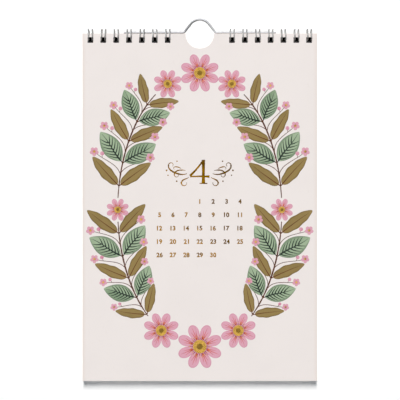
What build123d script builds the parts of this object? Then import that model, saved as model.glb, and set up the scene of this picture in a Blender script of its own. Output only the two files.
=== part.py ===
"""Wall calendar: twelve printed leaves on a backing board, twin-loop bound, hung from a wire hanger.

Millimetres, +Z up, the printed front faces -Y. The origin is where the nail bears, inside the top
of the hanger's hump. Each binding wire is modelled as the real one is made: a comb of hairpins bent
flat from one wire, then rolled round the axis of its rings.
"""

from build123d import *

import os
from math import atan2, cos, pi, radians, sin, sqrt, tan

# Leaves and backing board
page_w = 154.4
page_h = 228.6
leaf_count = 12
leaf_t = 0.17
board_t = 0.8
board_gap = 0.05

# Punching along the top edge, three positions to the inch, as many pairs as the width takes
punch_pitch = 25.4 / 3
punch_count = 2 * int(page_w / 2 / punch_pitch)
hump_positions = 4
hole_w = 3.7
hole_drop = 2.45
thumb_r = 9.25
thumb_drop = 0.55

# Binding wire
wire_d = 0.85
ring_od = 9.2
hairpin_w = 2.5
base_angle = 35
tip_angle = 380
base_corner_r = 0.8
ring_steps = 12
tip_steps = 4
corner_steps = 2
wire_sides = 6

# How the rings sit in the stack
ring_drop = 1.35
board_setback = 0.9

# Hanger
hanger_d = 1.5
hanger_len = 100.5
hump_rise = 8.6
hump_crown_r = 7.5
hump_foot_r = 2.0
hump_flank_angle = 52
hanger_gap = 0.05
hanger_setback = 1.2

# Printed wreath
ink_t = 0.05
wreath_drop = 116
wreath_w = 108
wreath_h = 180
sprig_count = 11
sprig_spread_angle = 50
sprig_lean_angle = 48
leaf_gap = 0.9
leaf_length_share = 2.1
sage_width_share = 0.61
leaf_stalk = 1.6
sage_edge_shares = ((0.22, 0.38), (0.5, 0.5), (0.78, 0.32))
olive_edge_shares = ((0.3, 0.5), (0.7, 0.4))
stem_w = 1.0
stem_steps = 6
petal_count = 8
petal_edge_shares = ((0, 0.5), (0.25, 0.9), (0.5, 1), (0.75, 0.9))
disc_share = 0.3
disc_sides = 8
bottom_blossom_r = 15
bottom_side_blossom_r = 12
top_blossom_r = 13
top_side_blossom_r = 9.5
mid_blossom_r = 7.6
bottom_side_angle = -62
top_side_angle = 67
stem_start_angle = -51
stem_end_angle = 57.5
mid_blossom_angle = 5

# Places that follow from the sizes
hanger_z = hanger_d / 2 - hump_rise
page_top = hanger_z - hanger_d / 2 - hanger_gap
ring_y = -hanger_setback
ring_z = page_top - ring_drop
ring_r = (ring_od - wire_d) / 2
board_front = ring_y + board_setback
page_back = board_front - board_gap
page_t = leaf_count * leaf_t
page_front = page_back - page_t
hole_z = page_top - hole_drop - hole_w / 2
first_loop = (hump_positions + 1) / 2
last_loop = (punch_count - 1) / 2
loop_xs = [(first_loop + i) * punch_pitch for i in range(int(last_loop - first_loop) + 1)]
wreath_z = page_top - wreath_drop
sprig_step = radians(2 * sprig_spread_angle / (sprig_count - 1)) * wreath_h / 2
leaf_pitch = sprig_step * sin(radians(sprig_lean_angle))
leaf_len = leaf_length_share * leaf_pitch
sage_leaf_w = 2 * (leaf_pitch - leaf_gap) * sage_width_share
olive_leaf_w = 2 * (leaf_pitch - leaf_gap) * (1 - sage_width_share)


def punched_sheet():
    """Outline of a leaf or the board, less the wire holes and the thumb cut."""
    with Locations((0, page_top)):
        Rectangle(page_w, page_h, align=(Align.CENTER, Align.MAX))
    with Locations([(side * x, hole_z) for x in loop_xs for side in (-1, 1)]):
        Rectangle(hole_w, hole_w, mode=Mode.SUBTRACT)
    with Locations((0, page_top - thumb_drop)):
        Circle(thumb_r, mode=Mode.SUBTRACT)


def rolled(x, run):
    """A point of the flat comb, run mm up from its base, rolled round the axis of the rings."""
    angle = radians(base_angle) + run / ring_r
    return Vector(x, ring_y + ring_r * sin(angle), ring_z - ring_r * cos(angle))


def hairpin(x):
    """Flat points (x, run) of one hairpin: base corner, strand, round tip, strand, base corner."""
    half = hairpin_w / 2
    strand = radians(tip_angle - base_angle) * ring_r - half
    corner = [radians(90) * i / corner_steps for i in range(corner_steps)]
    rise = [(base_corner_r * (1 - sin(a)), base_corner_r * (1 - cos(a))) for a in corner]
    ups = [base_corner_r + (strand - base_corner_r) * i / ring_steps for i in range(ring_steps + 1)]
    left = [(-half - dx, run) for dx, run in rise] + [(-half, run) for run in ups]
    tips = [pi * i / tip_steps for i in range(1, tip_steps)]
    tip = [(-half * cos(a), strand + half * sin(a)) for a in tips]
    right = [(-dx, run) for dx, run in reversed(left)]
    return [(x + dx, run) for dx, run in left + tip + right]


def binding_wire(xs):
    """Sweep one binding wire whose rings stand at the places xs, as short straight chords."""
    with BuildLine() as comb:
        Polyline([rolled(x, run) for centre in xs for x, run in hairpin(centre)])
    path = comb.wires()[0]
    outward = rolled(0, 0) - rolled(0, pi * ring_r)
    with BuildSketch(Plane(path @ 0, x_dir=outward, z_dir=path % 0)) as section:
        RegularPolygon(wire_d / 2, wire_sides)
    sweep(section.sketch, path=path, transition=Transition.RIGHT)


def wreath_place(angle):
    """Place on the wreath's ellipse, the direction of its upward run, and its stretch there."""
    a = radians(angle)
    run = (-wreath_w / 2 * sin(a), wreath_h / 2 * cos(a))
    stretch = sqrt(run[0] ** 2 + run[1] ** 2) / (wreath_h / 2)
    return wreath_w / 2 * cos(a), wreath_z + wreath_h / 2 * sin(a), atan2(run[1], run[0]), stretch


def leaf_pair(angle, width, edge):
    """Two leaves, one each side of the stem, as (x, z) outlines. edge lists, for one side of the
    leaf, how far along its length and how far across its width each point lies."""
    x, z, heading, stretch = wreath_place(angle)
    shape = ((0, 0),) + edge + ((1, 0),) + tuple((u, -v) for u, v in reversed(edge))
    outlines = []
    for side in (-1, 1):
        lean = heading + side * radians(sprig_lean_angle)
        outline = []
        for u, v in shape:
            along = leaf_stalk + u * leaf_len * stretch
            across = v * width * stretch
            outline.append((x + along * cos(lean) - across * sin(lean),
                            z + along * sin(lean) + across * cos(lean)))
        outlines.append(outline)
    return outlines


def stem(start, end):
    """Narrow band along the wreath's ellipse between two angles, as one (x, z) outline."""
    edges = ([], [])
    for i in range(stem_steps + 1):
        x, z, heading, stretch = wreath_place(start + (end - start) * i / stem_steps)
        for edge, side in zip(edges, (-1, 1)):
            edge.append((x - side * stem_w / 2 * sin(heading), z + side * stem_w / 2 * cos(heading)))
    return edges[0] + edges[1][::-1]


def mirrored(outlines):
    """The outlines and their mirror images across the page's middle."""
    return outlines + [[(-x, z) for x, z in outline] for outline in outlines]


def blossom_outline(centre, radius):
    """Round blossom of pointed petals. petal_edge_shares gives, from one waist between petals to the
    next, how far round each point of the edge lies and its share of the radius."""
    step = 2 * pi / petal_count
    return [(centre[0] + radius * share * sin((petal + turn) * step),
             centre[1] + radius * share * cos((petal + turn) * step))
            for petal in range(petal_count) for turn, share in petal_edge_shares]


def printed(outlines, height):
    """Lay closed outlines as a skin of ink, height mm off the front leaf."""
    with BuildSketch(Plane.XZ.offset(height - page_front)) as ink:
        for outline in outlines:
            Polygon(*outline, align=None)
    extrude(ink.sketch, amount=ink_t)


# Leaves, all twelve as one block
with BuildPart() as page_block:
    with BuildSketch(Plane.XZ.offset(-page_back)):
        punched_sheet()
    extrude(amount=page_t)

# Backing board, cut and punched with the leaves
with BuildPart() as backing_board:
    with BuildSketch(Plane.XZ.offset(-board_front)):
        punched_sheet()
    extrude(amount=-board_t)

# Binding wires, one each side of the hump
with BuildPart() as right_binding_wire:
    binding_wire(loop_xs)
with BuildPart() as left_binding_wire:
    binding_wire([-x for x in reversed(loop_xs)])

# Hanger, one wire bent to two legs and a hump
hump_peak = hump_rise + hump_crown_r * (1 / cos(radians(hump_flank_angle)) - 1)
hump_foot = hump_peak / tan(radians(hump_flank_angle))
with BuildPart() as hanger:
    with BuildLine(Plane.XZ) as bend:
        FilletPolyline(
            (-hanger_len / 2, hanger_z),
            (-hump_foot, hanger_z),
            (0, hanger_z + hump_peak),
            (hump_foot, hanger_z),
            (hanger_len / 2, hanger_z),
            radius=[hump_foot_r, hump_crown_r, hump_foot_r],
        )
    with BuildSketch(Plane.YZ.offset(-hanger_len / 2)):
        with Locations((0, hanger_z)):
            Circle(hanger_d / 2)
    sweep(path=bend.wires()[0])

# Printed wreath, one skin for each colour of ink
sprig_angles = [sprig_spread_angle * (2 * i / (sprig_count - 1) - 1) for i in range(sprig_count)]
middle = sprig_count // 2
lower_sprigs = sprig_angles[:middle]
upper_sprigs = sprig_angles[middle + 1:]
olive_angles = lower_sprigs[0::2] + upper_sprigs[0::2]
sage_angles = lower_sprigs[1::2] + upper_sprigs[1::2]

with BuildPart() as print_sage_leaves:
    pairs = [leaf_pair(angle, sage_leaf_w, sage_edge_shares) for angle in sage_angles]
    printed(mirrored(sum(pairs, [])), 0)

with BuildPart() as print_olive_leaves:
    pairs = [leaf_pair(angle, olive_leaf_w, olive_edge_shares) for angle in olive_angles]
    printed(mirrored(sum(pairs, [])), 0)

with BuildPart() as print_brown_stems:
    lower_stem = stem(stem_start_angle, -mid_blossom_angle)
    upper_stem = stem(mid_blossom_angle, stem_end_angle)
    printed(mirrored([lower_stem, upper_stem]), 0)

blossoms = [(wreath_place(-90)[:2], bottom_blossom_r), (wreath_place(90)[:2], top_blossom_r)]
side_blossoms = (
    (bottom_side_angle, bottom_side_blossom_r),
    (top_side_angle, top_side_blossom_r),
    (0, mid_blossom_r),
)
for angle, radius in side_blossoms:
    x, z = wreath_place(angle)[:2]
    blossoms += [((x, z), radius), ((-x, z), radius)]

with BuildPart() as print_pink_blossoms:
    printed([blossom_outline(centre, radius) for centre, radius in blossoms], 0)

with BuildPart() as print_gold_discs:
    with BuildSketch(Plane.XZ.offset(ink_t - page_front)):
        for centre, radius in blossoms:
            with Locations(centre):
                RegularPolygon(radius * disc_share, disc_sides)
    extrude(amount=ink_t)

pieces = {
    "hanger": hanger,
    "left_binding_wire": left_binding_wire,
    "right_binding_wire": right_binding_wire,
    "backing_board": backing_board,
    "page_block": page_block,
    "print_sage_leaves": print_sage_leaves,
    "print_olive_leaves": print_olive_leaves,
    "print_brown_stems": print_brown_stems,
    "print_pink_blossoms": print_pink_blossoms,
    "print_gold_discs": print_gold_discs,
}
os.makedirs("parts", exist_ok=True)
for name, piece in pieces.items():
    piece.part.label = name
    export_step(piece.part, f"parts/{name}.step")
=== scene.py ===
"""Wall calendar: its looks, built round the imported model.

Twelve punched leaves on a backing board, bound along the top with two twin-loop wires and hung from
a wire hanger. The front leaf carries a printed wreath, a month number with flourishes and the days.
"""

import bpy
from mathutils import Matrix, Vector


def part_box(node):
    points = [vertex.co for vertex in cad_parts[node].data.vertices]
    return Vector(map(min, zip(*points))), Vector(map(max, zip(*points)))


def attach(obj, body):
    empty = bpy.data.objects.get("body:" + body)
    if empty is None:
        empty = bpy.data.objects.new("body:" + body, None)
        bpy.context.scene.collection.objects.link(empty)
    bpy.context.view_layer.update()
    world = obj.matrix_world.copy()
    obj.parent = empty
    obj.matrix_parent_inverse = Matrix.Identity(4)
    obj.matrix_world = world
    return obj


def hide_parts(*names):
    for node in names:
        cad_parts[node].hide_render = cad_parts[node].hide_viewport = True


bl_info = {
    "name": "Wall Calendar",
    "version": (1, 0, 0),
    "blender": (4, 5, 0),
    "location": "View3D > Sidebar > Calendar",
    "description": "Twin-loop bound wall calendar with a printed wreath and the days of a month",
    "category": "Add Mesh",
}

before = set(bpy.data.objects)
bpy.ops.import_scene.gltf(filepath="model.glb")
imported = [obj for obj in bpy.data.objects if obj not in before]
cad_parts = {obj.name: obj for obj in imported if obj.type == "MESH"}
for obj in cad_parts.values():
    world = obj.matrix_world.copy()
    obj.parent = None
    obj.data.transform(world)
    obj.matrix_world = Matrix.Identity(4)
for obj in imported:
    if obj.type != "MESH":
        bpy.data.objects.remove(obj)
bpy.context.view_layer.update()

from math import cos, pi, radians, sin

import bmesh
import bpy
import numpy as np

MM = 0.001
PAGE_LOW, PAGE_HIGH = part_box("page_block")
BOARD_LOW, BOARD_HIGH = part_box("backing_board")
WIRE_LOW, WIRE_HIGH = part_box("right_binding_wire")
HANGER_LOW, HANGER_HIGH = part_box("hanger")
PAGE_TOP = PAGE_HIGH.z
PAGE_FRONT = PAGE_LOW.y
PAGE_HALF_W = (PAGE_HIGH.x - PAGE_LOW.x) / 2
WIRE_SIDES = 14  # points round a wire
PETAL_POINTS = 20  # points along the edge of a petal
SENSOR_W = 36  # millimetres
LAMP_AWAY = 12  # metres
GOLDEN_SHARE = 0.618
GOLDEN_ANGLE = 2.39996
FIGURE_HEIGHT = 0.72  # of the font's size


# Sizes and colours that a user may change

def size(name, text, default):
    """A length property in metres."""
    return bpy.props.FloatProperty(
        name=name, description=text, default=default, unit="LENGTH", precision=5)


def turn(name, text, degrees):
    """An angle property, given in degrees."""
    return bpy.props.FloatProperty(
        name=name, description=text, default=radians(degrees), unit="ROTATION")


def number(name, text, default):
    """A plain number property."""
    return bpy.props.FloatProperty(name=name, description=text, default=default)


def count(name, text, default, least, most=100):
    """A whole number property."""
    return bpy.props.IntProperty(name=name, description=text, default=default, min=least, max=most)


def several(name, text, default, unit):
    """A property of several lengths or angles."""
    return bpy.props.FloatVectorProperty(
        name=name, description=text, default=default, size=len(default), unit=unit, precision=5)


def paint(name, text, red, green, blue):
    """A colour property, given as a screen colour from 0 to 255 and kept as linear light."""
    screen = np.array((red, green, blue)) / 255
    linear = np.where(screen <= 0.04045, screen / 12.92, ((screen + 0.055) / 1.055) ** 2.4)
    return bpy.props.FloatVectorProperty(
        name=name, description=text, default=linear.tolist(), subtype="COLOR", size=3, min=0, max=1)


class CalendarPaper(bpy.types.PropertyGroup):
    """Leaves and backing board."""
    leaf_count: count("Leaves", "Leaves in the stack", 12, 1)
    leaf_gap: size("Leaf gap", "Air between two leaves", 0.02 * MM)
    trim_spread: size("Trim spread", "How unevenly the leaves are cut", 0.14 * MM)
    hole_w: size("Hole width", "Side of a punched square hole", 3.7 * MM)
    hole_drop: size("Hole drop", "From the top edge to the holes", 2.45 * MM)
    hole_corner_r: size("Hole corner", "Corner radius of a punched hole", 0.25 * MM)
    thumb_r: size("Thumb cut", "Radius of the half-round cut under the hump", 9.25 * MM)
    thumb_drop: size("Thumb drop", "From the top edge to the thumb cut's centre", 0.55 * MM)
    leaf_colour: paint("Leaf", "Warm cream of the leaves", 236, 228, 225)
    edge_colour: paint("Leaf edge", "Slightly darker cut edge of the leaves", 226, 212, 203)
    board_colour: paint("Board", "Cream card of the backing board", 232, 222, 214)


class CalendarBinding(bpy.types.PropertyGroup):
    """Twin-loop wires."""
    pitch: size("Pitch", "From one loop to the next, three to the inch", 25.4 / 3 * MM)
    loops: count("Loops", "Loops in one wire", 7, 1)
    wire_d: size("Wire", "Wire diameter", 0.85 * MM)
    ring_od: size("Ring", "Outside diameter of the closed loops", 8.98 * MM)
    ring_drop: size("Ring drop", "From the top edge to the rings' axis", 1.35 * MM)
    ring_ahead: size("Ring ahead", "From the frame's middle plane to the rings' axis", 1.2 * MM)
    lean: size("Lean", "How far a loop's top may stand to one side", 0.24 * MM)
    shift: size("Shift", "How far the loops stand to the right in their holes", 0.13 * MM)
    hairpin_w: size("Hairpin", "Between the two strands of a loop", 2.5 * MM)
    corner_r: size("Base corner", "Bend from the base into a strand", 0.8 * MM)
    base_angle: turn("Base angle", "Where a strand leaves the base, from the ring's foot", 35)
    tip_angle: turn("Tip angle", "Where a loop's tip comes back to", 380)
    wire_colour: paint("Wire colour", "Silver-grey plating", 178, 178, 177)


class CalendarHanger(bpy.types.PropertyGroup):
    """Wire hanger."""
    crown_r: size("Crown", "Radius of the hump's top, on the wire's centreline", 7.5 * MM)
    foot_r: size("Foot", "Radius where the hump leaves a leg", 2 * MM)
    flank_angle: turn("Flank", "Slope of the hump's sides", 52)
    wire_colour: paint("Wire colour", "Bright plating", 204, 205, 208)


class CalendarPrint(bpy.types.PropertyGroup):
    """Printed wreath, month number and days."""
    ink_t: size("Ink", "Height of a printed field", 0.05 * MM)
    line_t: size("Line ink", "Height of a line over its field", 0.015 * MM)
    wreath_drop: size("Wreath drop", "From the top edge to the wreath's centre", 116 * MM)
    wreath_w: size("Wreath width", "Width of the stem's oval", 108 * MM)
    wreath_h: size("Wreath height", "Height of the stem's oval", 180 * MM)
    sprigs: count("Sprigs", "Places for leaves on one side", 11, 3)
    sprig_spread: turn("Sprig spread", "From the oval's middle to the last sprig", 50)
    sprig_lean: turn("Sprig lean", "From the stem to a leaf", 48)
    leaf_len: size("Leaf", "Length of a leaf where the oval runs upright", 24.51 * MM)
    sage_w: size("Sage leaf width", "Width of a broad leaf", 13.14 * MM)
    olive_w: size("Olive leaf width", "Width of a slender leaf", 8.4 * MM)
    leaf_stalk: size("Stalk", "From the stem's middle to a leaf", 1.6 * MM)
    stem_w: size("Stem", "Width of the stem", 1.0 * MM)
    vein_w: size("Vein", "Width of a side vein at the midrib", 0.86 * MM)
    stem_ends: several(
        "Stem ends", "Where the lower and the upper run of the stem begin and end",
        np.radians([-51, -5, 5, 57.5]).tolist(), "ROTATION")
    blossom_at: several(
        "Blossom places", "Bottom, top, beside the bottom, beside the top, and middle",
        np.radians([-90, 90, -62, 67, 0]).tolist(), "ROTATION")
    blossom_r: several(
        "Blossoms", "Radii in the same order",
        (15 * MM, 13 * MM, 12 * MM, 9.5 * MM, 7.6 * MM), "LENGTH")
    disc_share: number("Disc", "Disc's share of the blossom", 0.3)
    bud_r: size("Bud", "Radius of the bud in a spray", 1.35 * MM)
    small_blossom_r: size("Small blossom", "Radius of the blossom at a spray's end", 3.05 * MM)
    number_drop: size("Number drop", "From the top edge to the month number's middle", 91 * MM)
    number_h: size("Number height", "Height of the month number", 16 * MM)
    day_drop: size("Day drop", "From the top edge to the first row of days", 110.52 * MM)
    day_column: size("Day column", "From one column of days to the next", 8.82 * MM)
    day_row: size("Day row", "From one row of days to the next", 8.8 * MM)
    day_h: size("Day height", "Height of a day's figures", 2.9 * MM)
    first_column: count("First column", "Column of day 1", 3, 0, 6)
    days: count("Days", "Days in the month", 30, 28, 31)
    sage: paint("Sage", "Broad leaves", 157, 175, 146)
    sage_dark: paint("Sage shade", "Shaded part of the broad leaves", 120, 142, 113)
    vein: paint("Vein", "Veins of the broad leaves", 26, 42, 32)
    olive: paint("Olive", "Slender leaves", 141, 120, 74)
    olive_dark: paint("Olive shade", "Rim of the slender leaves", 100, 78, 28)
    rust: paint("Rust", "Midribs of the slender leaves", 98, 52, 26)
    brown: paint("Brown", "Stems", 84, 44, 20)
    pink: paint("Pink", "Petals", 216, 161, 178)
    pink_dark: paint("Pink shade", "Petals near the disc", 198, 122, 146)
    coral: paint("Coral", "Lines on petals", 206, 84, 62)
    yellow: paint("Yellow", "Blossom discs", 224, 178, 82)
    core: paint("Core", "Middle of a disc", 136, 104, 40)
    gold: paint("Gold", "Gold foil", 160, 114, 0)
    # Painted reflection: the foil's darker drifts and its right side take this colour.
    gold_dark: paint("Gold shade", "Gold foil where it is darker", 88, 60, 0)


class CalendarStage(bpy.types.PropertyGroup):
    """Wall, lights and camera."""
    wall_gap: size("Wall gap", "From the rings to the wall", 1.5 * MM)
    wall_w: size("Wall", "Width and height of the wall", 1.4)
    # The black cards are painted shade behind the rows of holes.
    card_gap: size("Card gap", "From the board to the black cards", 0.03 * MM)
    frame_w: size("Frame", "Width that the picture takes in, at the front leaf", 263.14 * MM)
    frame_drop: size("Frame drop", "From the top edge to the picture's middle", 109.58 * MM)
    frame_side: size("Frame side", "From the calendar's to the picture's middle", 0.15 * MM)
    lens: number("Lens", "Focal length in millimetres", 135)
    key_share: number("Key", "Share of the light from above", 0.9)
    key_colour: paint("Key colour", "Warm light from above", 255, 253, 250)
    fill_share: number("Fill", "Share of the light from in front", 0.1)
    fill_colour: paint("Fill colour", "Cool light from in front", 200, 232, 255)
    rear_share: number("Rear", "Light on the back of the board", 0.85)
    side_share: number("Sides", "Light on the cut edges", 0.4)
    air: number("Air", "Share of the light from all round", 0.095)


# Meshes

def linked(name, data):
    """A new object for a mesh, curve, lamp or camera, at the origin."""
    made = bpy.data.objects.new(name, data)
    bpy.context.scene.collection.objects.link(made)
    return made


def turn_out(mesh, merge=False):
    """Turn the mesh's faces outward, after merging doubled points where asked."""
    work = bmesh.new()
    work.from_mesh(mesh)
    if merge:
        bmesh.ops.remove_doubles(work, verts=work.verts, dist=1e-7)
    bmesh.ops.recalc_face_normals(work, faces=work.faces)
    work.to_mesh(mesh)
    work.free()
    mesh.update()


def closed_bodies(name, rings, caps, uv, smooth=False, wrap=0.0, tone=None):
    """One mesh of k closed bodies. rings, (k, n, m, 3), are n closed rings of m points along each
    body, and caps, (k, 2, 3), the points that close its two ends: ring i joins ring i + 1 by quads
    and each end's ring joins its cap by a fan. uv, (k, n, m, 2), follows the rings, and v grows by
    wrap once round. tone, (k,), is one shade number for each body."""
    k, n, m, _ = rings.shape
    points = np.concatenate([rings.reshape(k, n * m, 3), caps], axis=1)
    around, follow = np.arange(m), (np.arange(m) + 1) % m
    row = np.arange(n - 1)[:, None] * m
    quads = np.stack([row + around, row + follow, row + m + follow, row + m + around], -1)
    first = np.stack([np.full(m, n * m), follow, around], -1)
    last = np.stack([np.full(m, n * m + 1), (n - 1) * m + around, (n - 1) * m + follow], -1)
    start = (np.arange(k) * (n * m + 2))[:, None, None]
    faces = (start + quads.reshape(-1, 4)).reshape(-1, 4).tolist()
    faces += (start + np.concatenate([first, last])).reshape(-1, 3).tolist()
    mesh = bpy.data.meshes.new(name)
    mesh.from_pydata(points.reshape(-1, 3).tolist(), [], faces)

    ends = np.stack([uv[:, 0].mean(axis=1), uv[:, -1].mean(axis=1)], axis=1)
    point_uv = np.concatenate([uv.reshape(k, n * m, 2), ends], axis=1).reshape(-1, 2)
    corners = np.zeros(len(mesh.loops), np.int32)
    mesh.loops.foreach_get("vertex_index", corners)
    corner_uv = point_uv[corners]
    columns = corner_uv[:k * (n - 1) * m * 4].reshape(k, n - 1, m, 4, 2)
    columns[:, :, -1, 1:3, 1] += wrap
    mesh.uv_layers.new(name="UVMap").data.foreach_set("uv", corner_uv.ravel())
    if tone is not None:
        shades = np.repeat(tone, n * m + 2).astype(np.float32)
        mesh.attributes.new("tone", "FLOAT", "POINT").data.foreach_set("value", shades)
    mesh.polygons.foreach_set("use_smooth", np.full(len(mesh.polygons), smooth))
    turn_out(mesh)
    return linked(name, mesh)


def from_up(angle):
    """Unit vectors (x, z) at angles from straight up to the right."""
    return np.stack([np.sin(angle), np.cos(angle)], -1)


def from_right(angle):
    """Unit vectors (x, z) at angles from the right up."""
    return np.stack([np.cos(angle), np.sin(angle)], -1)


def left_of(way):
    """The vectors (x, z) turned a quarter to their left."""
    return np.stack([-way[..., 1], way[..., 0]], -1)


def unit(vectors):
    """The vectors made one long."""
    return vectors / np.linalg.norm(vectors, axis=-1, keepdims=True)


def mirrored(points):
    """Points (x, z) and then the same on the other side of the calendar's middle."""
    return np.concatenate([points, points * (-1, 1)])


def on_page(flat, height):
    """Page points (x, z) lifted to a height in front of the front leaf."""
    height = np.broadcast_to(height, flat.shape[:-1])
    return np.stack([flat[..., 0], PAGE_FRONT - height, flat[..., 1]], axis=-1)


def strokes(name, centre, half_w, base, top, tone=None):
    """Flat bands of ink, one for each of k centrelines. centre is (k, n, 2) in page metres and
    half_w is spread to (k, n). Across each band the section is a low slab with sloped rims: at the
    shares -1, -0.94, 0, 0.94, 1 of the half width its height is 0, 1, 1, 1, 0 of the ink."""
    share = np.array([-1, -0.94, 0, 0.94, 1])
    lift = np.array([0, 1, 1, 1, 0])
    k, n, _ = centre.shape
    half_w = np.broadcast_to(half_w, (k, n))
    across = left_of(unit(np.gradient(centre, axis=1)))
    flat = centre[:, :, None] + across[:, :, None] * (half_w[..., None] * share)[..., None]
    base, top = np.reshape(base, (-1, 1, 1)), np.reshape(top, (-1, 1, 1))
    rings = on_page(flat, base + (top - base) * lift)
    caps = on_page(centre[:, [0, -1]], (base[..., 0] + top[..., 0]) / 2)
    u = np.broadcast_to(np.linspace(0, 1, n)[:, None], (k, n, len(share)))
    v = np.broadcast_to((share + 1) / 2, u.shape)
    return closed_bodies(name, rings, caps, np.stack([u, v], -1), tone=tone)


def patches(name, centre, radius, edge, base, top, turns=1.0):
    """Flat round patches of ink. centre is (k, 2), radius (k,), and edge (m,) the outline's share
    of the radius at m even steps round it. Rings at growing shares of the outline fill the patch,
    and the last drops to the paper. UV y counts turns once round."""
    share = np.array([0.12, 0.3, 0.5, 0.7, 0.85, 0.985, 1])
    lift = np.array([1, 1, 1, 1, 1, 1, 0])
    m = len(edge)
    spoke = from_up(np.linspace(0, 2 * pi, m, endpoint=False)) * edge[:, None]
    flat = centre[:, None, None] + radius[:, None, None, None] * share[:, None, None] * spoke
    rings = on_page(flat, (base + (top - base) * lift)[:, None])
    caps = np.stack([on_page(centre, top), on_page(centre, base)], axis=1)
    u = np.broadcast_to(share[:, None], (len(centre), len(share), m))
    v = np.broadcast_to(np.linspace(0, turns, m, endpoint=False), u.shape)
    return closed_bodies(name, rings, caps, np.stack([u, v], -1), wrap=turns)


def petal_edge(petals, valley):
    """A patch's outline of round petals: valley + (1 - valley) sin(pi t)^0.6 along each petal."""
    along = np.linspace(0, petals, petals * PETAL_POINTS + 1)[:-1] % 1
    return valley + (1 - valley) * np.sin(pi * along) ** 0.6


def notched_edge(notches, depth):
    """A patch's outline that is nearly round, with shallow notches."""
    angle = np.linspace(0, 2 * pi, 96, endpoint=False)
    return 1 - depth * (1 + np.sin(angle * notches)) / 2


def tube(name, path, radius, side):
    """Round wire along path, (n, 3). side, (n, 3) or (3,), points off the path and sets where each
    section starts; its part along the wire is taken away. The ends are rounded a little. UV x is
    millimetres along the wire, and y goes once round it."""
    along = unit(np.gradient(path, axis=0))
    side = unit(side - along * np.sum(side * along, axis=1, keepdims=True))
    other = np.cross(along, side)
    grow = np.ones((len(path), 1, 1))
    grow[[0, -1]] = 0.75
    angle = np.linspace(0, 2 * pi, WIRE_SIDES, endpoint=False)[:, None]
    section = np.cos(angle) * side[:, None] + np.sin(angle) * other[:, None]
    rings = path[:, None] + radius * grow * section
    caps = np.stack([path[0] - along[0] * radius * 0.2, path[-1] + along[-1] * radius * 0.2])
    run = np.pad(np.cumsum(np.linalg.norm(np.diff(path, axis=0), axis=1)), (1, 0)) / MM
    u, v = np.broadcast_arrays(run[:, None], np.linspace(0, 1, WIRE_SIDES, endpoint=False))
    return closed_bodies(name, rings[None], caps[None], np.stack([u, v], -1)[None], True, 1.0)


def punched_sheet(paper, binding, thickness, trim, middle_y):
    """A leaf or board as points and faces: a thin slab in the XZ plane, centred on middle_y. The
    outline runs round the sheet and the arc of the thumb cut; the square holes stand in it. trim
    takes a little off the sides and the lower edge."""
    half, low, high = PAGE_HALF_W - trim, PAGE_LOW.z + trim, PAGE_TOP
    opening = np.arccos(-paper.thumb_drop / paper.thumb_r)
    arc = from_up(np.linspace(opening, -opening, 49))
    rim = [(-half, low), (-half, high), *((0, high - paper.thumb_drop) - paper.thumb_r * arc),
           (half, high), (half, low)]
    quarter = np.repeat(np.arange(4) * pi / 2, 4)
    corner = quarter + np.tile(np.linspace(0, pi / 2, 4), 4)
    inner = paper.hole_w / 2 - paper.hole_corner_r
    square = inner * np.sign(from_right(quarter + pi / 4)) + paper.hole_corner_r * from_right(corner)
    hole_z = high - paper.hole_drop - paper.hole_w / 2
    holes = [square + (side * x, hole_z) for x in loop_places(binding) for side in (-1, 1)]
    curve = bpy.data.curves.new("sheet", "CURVE")
    curve.dimensions = "2D"
    curve.fill_mode = "BOTH"
    curve.extrude = thickness / 2
    for loop in (np.array(rim), *holes):
        spline = curve.splines.new("POLY")
        spline.points.add(len(loop) - 1)
        spline.points.foreach_set("co", np.pad(loop, ((0, 0), (0, 2))).ravel())
        spline.use_cyclic_u = True
    points, faces = mesh_points_of(curve)
    return points + (0, middle_y, 0), faces


def mesh_points_of(curve):
    """The filled curve as a mesh's points, turned from the XY to the XZ plane, and its faces."""
    holder = linked("holder", curve)
    bpy.context.view_layer.update()
    graph = bpy.context.evaluated_depsgraph_get()
    mesh = bpy.data.meshes.new_from_object(holder.evaluated_get(graph))
    points = np.zeros(len(mesh.vertices) * 3)
    mesh.vertices.foreach_get("co", points)
    x, y, z = points.reshape(-1, 3).T
    faces = [tuple(face.vertices) for face in mesh.polygons]
    bpy.data.objects.remove(holder)
    bpy.data.curves.remove(curve)
    bpy.data.meshes.remove(mesh)
    return np.stack([x, -z, y], -1), faces


def joined(name, pieces):
    """One mesh from several (points, faces), with doubled points merged and faces turned out."""
    faces, start = [], 0
    for own_points, own_faces in pieces:
        faces += [tuple(i + start for i in face) for face in own_faces]
        start += len(own_points)
    mesh = bpy.data.meshes.new(name)
    mesh.from_pydata(np.concatenate([points for points, _ in pieces]).tolist(), [], faces)
    turn_out(mesh, merge=True)
    return linked(name, mesh)


def placed(piece, body, material, node):
    """Ride the piece on its body and the node that it stands for, and finish it."""
    piece.data.materials.clear()
    piece.data.materials.append(material)
    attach(piece, body)
    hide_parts(node)
    return piece


def printed(piece, node, material):
    """Place a piece of the print, which rides on the leaves."""
    return placed(piece, "pages", material, node)


# Places that several pieces share

def spread(length, start=0.0):
    """Numbers from 0 to 1 that lie evenly, but in no order that shows."""
    return (np.arange(length) * GOLDEN_SHARE + start) % 1


def loop_places(binding):
    """Where the loops stand to the right of the middle."""
    middle = (WIRE_LOW.x + WIRE_HIGH.x) / 2
    return middle + (np.arange(binding.loops) - (binding.loops - 1) / 2) * binding.pitch


def wreath_place(ink, angle):
    """Places on the stem's oval at the angles, the way of its upward run, and its stretch there."""
    half_w, half_h = ink.wreath_w / 2, ink.wreath_h / 2
    run_x, run_z = -half_w * np.sin(angle), half_h * np.cos(angle)
    place = from_right(angle) * (half_w, half_h) + (0, PAGE_TOP - ink.wreath_drop)
    return place, np.arctan2(run_z, run_x), np.hypot(run_x, run_z) / half_h


def sprig_angles(ink):
    """Angles of all places for leaves on one side, from the lowest, and the middle one's number."""
    return ink.sprig_spread * np.linspace(-1, 1, ink.sprigs), ink.sprigs // 2


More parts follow.
